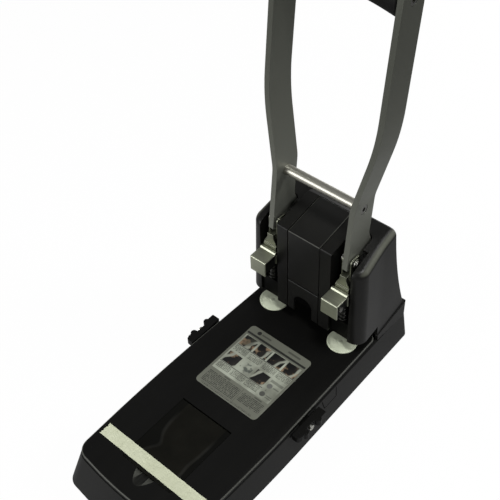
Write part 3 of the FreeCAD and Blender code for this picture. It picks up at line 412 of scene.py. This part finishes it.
def scuffed_deck():
    skin = Finish("deck_black")
    grain = skin.noise(2200.0)
    clouds = skin.noise(14.0, 3.0)
    scuffs = skin.noise(160.0, 3.0, (1.0, 0.12, 1.0))
    dust = skin.noise(520.0, 1.0) > 0.74
    tone = skin.between(clouds, (0.0028, 0.0028, 0.0025), (0.0042, 0.0042, 0.0038))
    tone = skin.between(scuffs * 0.06 + dust * 0.15, tone, PAPER_GREY)
    # The deck's rounded rim is painted paler: a painted highlight.
    edge_highlight = skin.soften(skin.rounding(False), 0.25, 1.0)
    tone = skin.between(edge_highlight * (clouds * 0.5 + 0.75), tone, DECK_RIM_HIGHLIGHT)
    return skin.shine(Base_Color=tone, Roughness=clouds * 0.1 + scuffs * 0.06 + 0.34,
                      Specular_IOR_Level=0.16, Normal=skin.bump(grain, 0.3, 0.04 * MM))


deck_skin = copy_of("deck", scuffed_deck(), edge=0)
deck_low, deck_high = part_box("deck")
lid_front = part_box("storage_lid")[0].y
for edge in deck_skin.data.edges:       # the finger scoop's rim stays crisp
    ends = [deck_skin.data.vertices[end].co for end in edge.vertices]
    if all(end.z > deck_high.z - SCOOP_LEVEL and end.y < lid_front + SCOOP_BACK
           and end.y > deck_low.y + SCOOP_FRONT and abs(end.x) < SCOOP_HALF for end in ends):
        edge.use_edge_sharp = True


# ---- Tower ----
# The housing over the punch heads: the shell with its two cheeks, the cap that covers
# the column and the arched panel below it, all three moulded in the same black plastic.
# The tower's and the cap's rounded edges carry a painted highlight.
tower_black = moulding("tower_black", (0.007, 0.007, 0.0062), roughness=0.36, grain=1400.0,
                       depth=0.05 * MM, mirror=0.24, wear_and_highlight=0.8)
cap_black = moulding("cap_black", (0.0065, 0.0065, 0.0058), roughness=0.38, grain=1800.0,
                     depth=0.03 * MM, mirror=0.32, wear_and_highlight=0.45, across_only=False)
panel_black = moulding("panel_black", (0.006, 0.006, 0.0054), roughness=0.4, grain=1800.0,
                       depth=0.03 * MM, mirror=0.3)
COLUMN_HALF = 29.2 * MM
SEAM = 0.5 * MM
TOP_SLOPE = 0.205
TOWER_WALL = 3.0 * MM
CREST_Z = 147.5 * MM            # where the flat top of the column meets its front
PANEL_EDGE = 0.5 * MM           # depth of the panel's upper edge
column_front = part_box("centre_cap")[0].y


def flatten_top(work):
    """The column's top as one plane that climbs to the back, meeting the front in an edge."""
    work.normal_update()
    for corner in work.verts:
        level = CREST_Z + TOP_SLOPE * (corner.co.y - column_front)
        if corner.normal.z < 0:
            level -= TOWER_WALL
        if abs(corner.co.x) < COLUMN_HALF and corner.co.z > level:
            corner.co.z = level


def draw_in_sides(work):
    """Narrows a piece of the column, so that a dark line runs down each side of it."""
    for corner in work.verts:
        corner.co.x *= 1 - SEAM / COLUMN_HALF


def shape_cap(work):
    flatten_top(work)
    draw_in_sides(work)


def shape_panel(work):
    """Takes the panel's upper edge down from the cap by the same dark line."""
    draw_in_sides(work)
    top = max(corner.co.z for corner in work.verts)
    for corner in work.verts:
        if corner.co.z > top - PANEL_EDGE:
            corner.co.z -= SEAM


copy_of("tower_shell", tower_black, edge=1.0 * MM, reshape=flatten_top)
copy_of("centre_cap", cap_black, edge=1.4 * MM, reshape=shape_cap)
copy_of("lower_panel", panel_black, edge=0.8 * MM, reshape=shape_panel)


# ---- Arms ----
# Flat steel bars, cut to shape and painted a satin grey; the light catches a fine
# orange-peel in the paint. Their grey is painted lighter low down as a reflection and darker
# towards the grip as shade.
# Painted shade for the upper arms, then a painted reflection for the lower arms.
UPPER_SHADE_GREY = (0.04, 0.042, 0.034)
LOW_REFLECTION_GREY = (0.2, 0.207, 0.177)
PAINT_LOW, PAINT_HIGH = 0.1, 0.36       # heights between which the paint goes darker


def arm_paint():
    skin = Finish("arm_grey")
    peel = skin.noise(700.0)
    flake = skin.noise(5200.0, 1.0)
    clouds = skin.noise(22.0, 3.0)
    tone = skin.between(flake * 0.5 + clouds * 0.5, (0.1, 0.105, 0.085), (0.178, 0.186, 0.154))
    # Painted light: lighter below as a painted reflection, darker towards the grip as painted
    # shade.
    painted_light_rise = skin.soften(skin.along(2), PAINT_LOW, PAINT_HIGH)
    tone = skin.between(1.0 - painted_light_rise, tone, LOW_REFLECTION_GREY)
    tone = skin.between(painted_light_rise * 0.55, tone, UPPER_SHADE_GREY)
    return skin.shine(Base_Color=tone, Metallic=0.55, Roughness=clouds * 0.1 + flake * 0.08 + 0.3,
                      Normal=skin.bump(peel, 0.3, 0.02 * MM))


arm_grey = arm_paint()
for side in ("left_", "right_"):
    copy_of(side + "arm", arm_grey, edge=0.6 * MM)


# ---- Cross rod and arm screws ----
# A polished rod between the arms with fine lines along it from drawing, and the dull
# steel screws that hold it and the hand grip through the arms.
rod_steel = metal("rod_steel", (0.5, 0.49, 0.43), roughness=0.4, streak=(0.02, 1.0, 1.0),
                  scale=500.0, depth=0.001 * MM)
screw_steel = metal("screw_steel", (0.3, 0.3, 0.28), roughness=0.3)
paint(rod_steel, "cross_rod")
paint(screw_steel, "rod_screws", "grip_screws")


# ---- Hand grip ----
# A waisted spool of matt black rubber, fuller at both ends with a small lip, pushed over
# a steel core that is screwed between the arms.
GRIP_WAIST = 10.2 * MM
GRIP_CORE = 6.03 * MM
GRIP_FLARE = 37.0 * MM          # length of the flare at either end
GRIP_SWELL = 1.45               # above 1, a flare opens late
GRIP_LIP = 1.2 * MM
FLARE_RINGS = 24
LIP_RINGS = 6
ROUND_STEPS = 96


def grip_rubber():
    skin = Finish("grip_rubber")
    pores = skin.noise(1900.0, 3.0)
    bands = skin.noise(150.0, 2.0, (1.0, 0.15, 0.15))
    wear_and_highlight = skin.noise(30.0, 3.0)
    tone = skin.between(wear_and_highlight * 0.6 + bands * 0.4, (0.0035, 0.0035, 0.0033),
                        (0.008, 0.008, 0.0076))
    return skin.shine(Base_Color=tone, Roughness=wear_and_highlight * 0.2 + 0.5, Specular_IOR_Level=0.12,
                      Normal=skin.bump(pores + bands * 0.6, 0.35, 0.06 * MM))


def turned(name, profile, axis, centre, finish, body):
    """A new piece spun about a line through centre from (place along it, radius) pairs."""
    work = bmesh.new()
    along = Vector(axis)
    out = Vector((0, 0, 1)) if along.z < 0.5 else Vector((1, 0, 0))
    corners = [work.verts.new(Vector(centre) + along * at + out * reach) for at, reach in profile]
    edges = [work.edges.new(pair) for pair in zip(corners, corners[1:])]
    bmesh.ops.spin(work, geom=corners + edges, cent=centre, axis=axis, angle=2 * math.pi,
                   steps=ROUND_STEPS, use_merge=True)
    bmesh.ops.remove_doubles(work, verts=work.verts, dist=0.002 * MM)
    return new_piece(name, work, finish, body)


grip_low, grip_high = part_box("grip_sleeve")
grip_centre = (grip_low + grip_high) / 2
grip_half = (grip_high.x - grip_low.x) / 2
grip_end = (grip_high.z - grip_low.z) / 2
outside = []
for i in range(FLARE_RINGS + 1):
    rise = i / FLARE_RINGS
    swell = GRIP_WAIST + (grip_end - GRIP_WAIST) * rise ** GRIP_SWELL
    outside.append((grip_half - GRIP_LIP - GRIP_FLARE * (1 - rise), swell))
for i in range(1, LIP_RINGS + 1):
    turn = math.pi / 2 * i / LIP_RINGS
    outside.append((grip_half - GRIP_LIP * (1 - math.sin(turn)),
                    grip_end - GRIP_LIP * (1 - math.cos(turn))))
outside.append((grip_half, GRIP_CORE))
spool = [(-at, reach) for at, reach in reversed(outside)] + outside + [(-grip_half, GRIP_CORE)]
hand_grip = turned("hand_grip", spool, (1, 0, 0), grip_centre, grip_rubber(), "lever")
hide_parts("grip_sleeve")
paint(turned_steel, "grip_core")


# ---- Punch brackets ----
# Bright sheet bent over each punch head and brushed across, with a black moulded holder
# inside it and a small steel screw in the holder.
sheet_steel = metal("sheet_steel", (0.5, 0.52, 0.41), roughness=0.44,
                    streak=(0.05, 1.0, 1.0), scale=1100.0)
for side in ("left_", "right_"):
    copy_of(side + "punch_bracket", sheet_steel, edge=0.45 * MM)
    copy_of(side + "punch_block", shell_black, edge=0.4 * MM)
    paint(turned_steel, side + "punch_screw")


# ---- Yokes and link pins ----
# Dull olive steel carriers over the punches, whose slotted ears straddle the arms, with
# turned pins through both and clip washers on the pins' ends.
yoke_steel = metal("yoke_steel", (0.26, 0.27, 0.21), roughness=0.4, streak=(1.0, 1.0, 0.1),
                   scale=1300.0)
for side in ("left_", "right_"):
    copy_of(side + "punch_yoke", yoke_steel, edge=0.3 * MM)
paint(turned_steel, "link_pins", "link_clips")


# ---- Punch frames, pivot and jaw ----
# Blackened plates inside the tower, the turned pivot through them with its plastic
# bushes and black clips, the ground steel lower jaw and the black paper stop.
frame_black = metal("frame_black", (0.012, 0.012, 0.0115), roughness=0.5,
                    streak=(1.0, 1.0, 0.2), scale=700.0)
screw_black = metal("screw_black", (0.06, 0.06, 0.058), roughness=0.34)
jaw_steel = metal("jaw_steel", (0.3, 0.3, 0.29), roughness=0.32, streak=(0.05, 1.0, 1.0),
                  scale=1000.0)
bush_plastic = moulding("bush_plastic", (0.02, 0.02, 0.019), roughness=0.5, grain=1500.0,
                        depth=0.02 * MM)
paint(frame_black, "left_punch_frame", "right_punch_frame", "paper_stop")
paint(turned_steel, "pivot_shaft")
paint(screw_black, "pivot_clips")
paint(bush_plastic, "pivot_bushes")
paint(jaw_steel, "jaw_plate")


# ---- Punches and their springs ----
# Ground steel punches, each inside a coil spring of hard-drawn wire whose end turns lie
# flat: it stands on the punch frame and lifts the punch again.
punch_steel = metal("punch_steel", (0.16, 0.16, 0.15), roughness=0.3, streak=(1.0, 1.0, 0.03),
                    scale=1400.0, depth=0.004 * MM)
spring_wire = metal("spring_wire", (0.045, 0.045, 0.042), roughness=0.34,
                    streak=(0.3, 0.3, 1.0), scale=2200.0)
WIRE = 0.55 * MM                # radius of the wire
END_RISE = 2 * WIRE             # of an end turn, which lies on the turn before
COIL_TURNS = 6.5                # between the two end turns
RING_SIDES = 10
TURN_STEPS = 28
COIL_SHARP = 60.0
for side in ("left_", "right_"):
    paint(punch_steel, side + "punch_pin")
    low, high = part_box(side + "return_spring")
    centre = (low + high) / 2
    coil = (high.x - low.x) / 2 - WIRE
    open_rise = high.z - low.z - 2 * WIRE - 2 * END_RISE
    work = bmesh.new()
    start = Matrix.Translation((centre.x + coil, centre.y, low.z + WIRE))
    bmesh.ops.create_circle(work, segments=RING_SIDES, radius=WIRE,
                            matrix=start @ Matrix.Rotation(math.pi / 2, 4, "X"))
    tip = work.verts[:] + work.edges[:]
    for turns, rise in ((1, END_RISE), (COIL_TURNS, open_rise), (1, END_RISE)):
        steps = round(turns * TURN_STEPS)
        tip = bmesh.ops.spin(work, geom=tip, cent=(centre.x, centre.y, low.z), axis=(0, 0, 1),
                             dvec=(0, 0, rise / steps), angle=2 * math.pi * turns,
                             steps=steps)["geom_last"]
    bmesh.ops.holes_fill(work, edges=work.edges)
    spring = new_piece(side + "coil", work, spring_wire, "base", COIL_SHARP)
    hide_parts(side + "return_spring")
    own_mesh(spring)


# ---- Cutting discs ----
# Replaceable discs of off-white plastic let into the deck under the punches, with faint
# rings from turning, two grooves and a shallow mark at the centre.
UNDER_BEVEL = 0.2 * MM
DISC_ROUNDING = ((0.45, 0.0), (0.12, 0.14), (0.0, 0.5))    # mm under the top, mm inside the rim
GROOVES = (0.82, 0.34)          # shares of the radius
GROOVE_TOP, GROOVE_FLOOR = 0.3 * MM, 0.1 * MM       # half the width of a groove
GROOVE_DEPTH = 0.05 * MM
MARK_TOP, MARK_FLOOR = 1.1 * MM, 0.8 * MM           # radius of the centre mark
MARK_DEPTH = 0.1 * MM
MARK_STAIN = 1.0 * MM           # radius of the grey in it
RING_RATE = 9000.0              # a turned ring for every 0.7 mm of radius


def disc_plastic(name, centre):
    skin = Finish(name)
    off_x = skin.along(0) - centre.x
    off_y = skin.along(1) - centre.y
    radius = (off_x * off_x + off_y * off_y) ** 0.5
    rings = skin.math("SINE", radius * RING_RATE)
    clouds = skin.noise(120.0, 3.0)
    grain = skin.noise(1600.0)
    tone = skin.between(clouds, (0.66, 0.72, 0.54), (0.82, 0.88, 0.68))
    tone = skin.between((radius < MARK_STAIN) * 0.35, tone, (0.2, 0.2, 0.17))
    return skin.shine(Base_Color=tone, Roughness=clouds * 0.15 + 0.4,
                      Normal=skin.bump(rings * 0.3 + grain, 0.2, 0.01 * MM))


for side in ("left_", "right_"):
    low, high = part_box(side + "cutting_disc")
    centre = (low + high) / 2
    rim = (high.x - low.x) / 2
    top = (high.z - low.z) / 2
    face = [(-top, 0), (-top, rim - UNDER_BEVEL), (UNDER_BEVEL - top, rim)]
    face += [(top - under * MM, rim - inside * MM) for under, inside in DISC_ROUNDING]
    for share in GROOVES:
        groove = rim * share
        face += [(top, groove + GROOVE_TOP), (top - GROOVE_DEPTH, groove + GROOVE_FLOOR),
                 (top - GROOVE_DEPTH, groove - GROOVE_FLOOR), (top, groove - GROOVE_TOP)]
    face += [(top, MARK_TOP), (top - MARK_DEPTH, MARK_FLOOR), (top - MARK_DEPTH, 0)]
    disc = turned(side + "disc", face, (0, 0, 1), centre,
                  disc_plastic(side + "disc_white", centre), side + "disc")
    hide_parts(side + "cutting_disc")


# ---- Instruction label ----
# A printed silver-grey film stuck on the deck, with a border, a pale header, seven small
# pictures with captions, a panel with round marks, and ruled lines. None can be read.
TO_MM = 1000.0                  # the label's layout is in mm from its back left corner
CELL_START, CELL_PITCH = 3.9, 16.4      # of the small pictures
PICTURE_WIDTH, CAPTION_WIDTH = 14.4, 14.6
SLANT_RUN = 34.0
LINE_SHARE = 0.55               # of the lines' pitch, printed
LINE_JUMP = 7.3                 # gives each line words of its own
INK = (0.018, 0.018, 0.016)
ROUND_MARKS = (                 # across, down, radius and grey
    (11.4, 4.5, 2.1, (0.02, 0.02, 0.018)),
    (56.5, 44.0, 2.6, (0.14, 0.145, 0.132)),
    (56.5, 54.2, 2.6, (0.075, 0.078, 0.068)))


def label_print():
    skin = Finish("label_print")
    low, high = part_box("instruction_label")
    across = (skin.along(0) - low.x) * TO_MM
    down = (high.y - skin.along(1)) * TO_MM

    def share(value):
        """What is left of a value past the whole number below it."""
        return value - skin.math("FLOOR", value)

    def area(left, right, top, bottom):
        return (across > left) * (across < right) * (down > top) * (down < bottom)

    def lines(pitch, words):
        """Ruled lines broken into words by a noise that changes from line to line."""
        row = down / pitch
        line = skin.math("FLOOR", row) * LINE_JUMP
        at = skin.node("CombineXYZ", sockets={0: across * words, 1: line, 2: 0.0})
        word = skin.node("TexNoise", sockets={"Vector": at, "Scale": 1.0, "Detail": 1.0})
        return (share(row) < LINE_SHARE) * (word > 0.44)

    grain = skin.noise(1500.0)
    clouds = skin.noise(45.0, 3.0)
    figure = skin.noise(150.0)
    backdrop = skin.noise(60.0)
    tone = skin.between(clouds, (0.13, 0.136, 0.107), (0.182, 0.19, 0.152))
    cells = area(2.4, 67.4, 12.2, 59.5)
    tone = skin.between(cells * skin.soften(clouds, 0.25, 0.6), tone, (0.43, 0.46, 0.375))
    border = area(1.3, 68.5, 8.2, 10.4)
    tone = skin.between(border, tone, (0.02, 0.021, 0.018))
    in_cell = share((across - CELL_START) / CELL_PITCH) * CELL_PITCH
    pictures = (in_cell < PICTURE_WIDTH) * (area(3.4, 68.0, 12.6, 25.2)
                                            + area(3.4, 19.0, 36.0, 48.8)
                                            + area(36.0, 52.8, 36.0, 48.8))
    slant = share(across / CELL_PITCH + down / SLANT_RUN + backdrop * 0.8)
    subject = skin.between(skin.soften(slant, 0.3, 0.9), (0.003, 0.003, 0.0032),
                           (0.016, 0.014, 0.012))
    subject = skin.between(skin.soften(figure, 0.53, 0.66) * 0.9, subject, (0.3, 0.21, 0.13))
    subject = skin.between(skin.soften(slant, 0.78, 0.88) * 0.85, subject, (0.36, 0.38, 0.31))
    subject = skin.between(skin.soften(backdrop, 0.58, 0.68) * 0.6, subject,
                           (0.045, 0.047, 0.032))
    tone = skin.between(pictures, tone, subject)
    drawing = area(21.5, 34.0, 36.6, 48.4) * skin.soften(figure, 0.5, 0.62)
    tone = skin.between(drawing * 0.75, tone, (0.03, 0.04, 0.038))
    captions = area(3.4, 68.0, 26.6, 33.8) + area(3.4, 52.4, 50.4, 57.0)
    captions = captions * (in_cell < CAPTION_WIDTH) * lines(pitch=1.3, words=1.6)
    tone = skin.between(captions * 0.8, tone, INK)
    rules = area(3.4, 68.0, 25.4, 26.3) + area(3.4, 52.4, 49.1, 50.0)
    tone = skin.between(rules * 0.8, tone, (0.05, 0.05, 0.044))
    text = (area(3.6, 40.0, 63.0, 76.0) + area(43.0, 67.0, 63.0, 73.0)
            + area(6.0, 64.0, 77.0, 78.6))
    tone = skin.between(text * lines(pitch=1.5, words=1.3) * 0.9, tone, INK)
    heads = (area(19.0, 26.0, 60.6, 61.9) + area(54.0, 62.0, 60.6, 61.9)
             + area(41.2, 41.6, 61.0, 76.5) + area(53.6, 66.8, 37.0, 39.8) * 0.8)
    tone = skin.between(heads * 0.6, tone, INK)
    notes = (area(60.5, 66.5, 43.2, 44.4) + area(60.5, 66.5, 53.0, 54.0)
             + area(60.5, 66.5, 55.0, 56.0) + area(56.0, 57.0, 48.5, 50.5))
    tone = skin.between(notes * 0.5, tone, INK)
    header = area(14.5, 25.0, 3.4, 5.2) + area(45.0, 59.0, 3.2, 5.2)
    tone = skin.between(header * 0.55, tone, INK)
    for middle_x, middle_y, radius, shade in ROUND_MARKS:
        off_x = across - middle_x
        off_y = down - middle_y
        tone = skin.between((off_x * off_x + off_y * off_y) < radius ** 2, tone, shade)
    return skin.shine(Base_Color=tone, Roughness=clouds * 0.12 + 0.34, Coat_Weight=0.2,
                      Normal=skin.bump(grain, 0.15, 0.01 * MM))


copy_of("instruction_label", label_print(), edge=0.1 * MM, segments=2)


# ---- Storage well and its lid ----
# A black tray under a glossy smoked lid that turns on a steel pin. Two paler curves
# painted on the lid are a painted highlight where the tray's waisted walls lie under it.
WAIST_DOWN, WAIST_RUN = 46.0, 8.5       # mm from the lid's back edge, mm along the curves
WALL_LEFT, PINCH_LEFT = 20.8, 9.5       # mm from the middle, mm in at the waist
WALL_RIGHT, PINCH_RIGHT = 23.0, 2.0


def smoked_lid():
    skin = Finish("smoked_lid")
    low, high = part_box("storage_lid")
    across = skin.along(0) * TO_MM
    down = high.y * TO_MM - skin.along(1) * TO_MM
    waist = (down - WAIST_DOWN) / WAIST_RUN
    pinch = 1.0 / (waist * waist + 1.0)
    left = 1.0 - skin.soften(abs(across + WALL_LEFT - pinch * PINCH_LEFT), 0.4, 2.6)
    right = 1.0 - skin.soften(abs(across - WALL_RIGHT + pinch * PINCH_RIGHT), 0.4, 2.2)
    shown = skin.soften(down, 8.0, 26.0) * (1.0 - skin.soften(down, 60.0, 76.0))
    clouds = skin.noise(55.0, 3.0)
    grain = skin.noise(2400.0, 1.0)
    inside = (across > pinch * PINCH_LEFT - WALL_LEFT) * (across < WALL_RIGHT)
    tone = skin.between(clouds, (0.0028, 0.0029, 0.0022), (0.0042, 0.0042, 0.0034))
    tone = skin.between(inside * clouds * 0.6, tone, (0.0135, 0.0125, 0.0085))
    # The two paler curves are a painted highlight over the tray's walls.
    tone = skin.between((left + right) * shown * clouds * 0.6, tone, (0.03, 0.03, 0.027))
    return skin.shine(Base_Color=tone, Roughness=clouds * 0.12 + 0.2, Specular_IOR_Level=0.14,
                      Normal=skin.bump(grain, 0.08, 0.01 * MM))


copy_of("storage_lid", smoked_lid(), edge=0.3 * MM)
paint(shell_black, "storage_well")
paint(turned_steel, "lid_hinge_pin")


# ---- Packing tape ----
# A strip of cream crepe paper stuck across the lid and the deck to keep the lid shut,
# wrinkled, with one end torn off unevenly. It comes up with the lid.
STRIP_LONG, STRIP_BROAD = 150, 14       # faces along and across the strip
STRIP_INSET = 0.25 * MM         # room for its edges to wander
TEAR = 0.9 * MM
RUFFLE = 0.12 * MM
WANDER = 0.05 * MM
STRIP_SHARP = 50.0


def crepe():
    skin = Finish("crepe")
    wrinkles = skin.noise(420.0, 4.0, (1.0, 0.22, 1.0))
    fibres = skin.noise(1300.0, 3.0, (0.4, 1.0, 1.0))
    stains = skin.noise(38.0, 3.0)
    tone = skin.between(wrinkles * 0.5 + stains * 0.5, (0.5, 0.53, 0.36), (0.76, 0.79, 0.6))
    tone = skin.between((fibres > 0.66) * 0.25, tone, (0.4, 0.39, 0.27))
    return skin.shine(Base_Color=tone, Roughness=stains * 0.1 + 0.8,
                      Normal=skin.bump(wrinkles + fibres * 0.4, 0.6, 0.25 * MM))


low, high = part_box("packing_tape")
work = bmesh.new()
bmesh.ops.create_grid(work, x_segments=STRIP_LONG, y_segments=STRIP_BROAD, size=0.5)
for corner in work.verts:
    along = corner.co.x + 0.5
    across = corner.co.y + 0.5
    torn = TEAR * abs(math.sin(7.1 * across) + 0.6 * math.sin(23.0 * across))
    ruffle = RUFFLE * math.sin(61.0 * along + 2.0 * math.sin(15.4 * across))
    wander = WANDER * (math.sin(34.5 * along) + math.sin(136.5 * along))
    corner.co = (low.x + torn + (high.x - low.x - torn) * along,
                 low.y + STRIP_INSET + (high.y - low.y - 2 * STRIP_INSET) * across
                 + wander * abs(2 * across - 1),
                 min(high.z, high.z - RUFFLE + ruffle))
under = bmesh.ops.extrude_face_region(work, geom=work.faces[:], use_keep_orig=True)["geom"]
for corner in under:
    if isinstance(corner, bmesh.types.BMVert):
        corner.co.z = low.z
strip = new_piece("crepe_strip", work, crepe(), "lid", STRIP_SHARP)
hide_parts("packing_tape")


# ---- Side guides ----
# Two blackened steel bars that slide out of a channel in the base to set the paper's
# place, each with a black moulded stop at its end, held by a bright screw.
stop_black = moulding("stop_black", (0.005, 0.005, 0.0046), roughness=0.42, grain=1700.0,
                      depth=0.04 * MM, mirror=0.12)
screw_bright = metal("screw_bright", (0.8, 0.8, 0.74), roughness=0.24)
for side in ("left_", "right_"):
    copy_of(side + "guide_stop", stop_black, edge=0.4 * MM)
    paint(screw_bright, side + "guide_screw")
    paint(frame_black, side + "guide_bar")
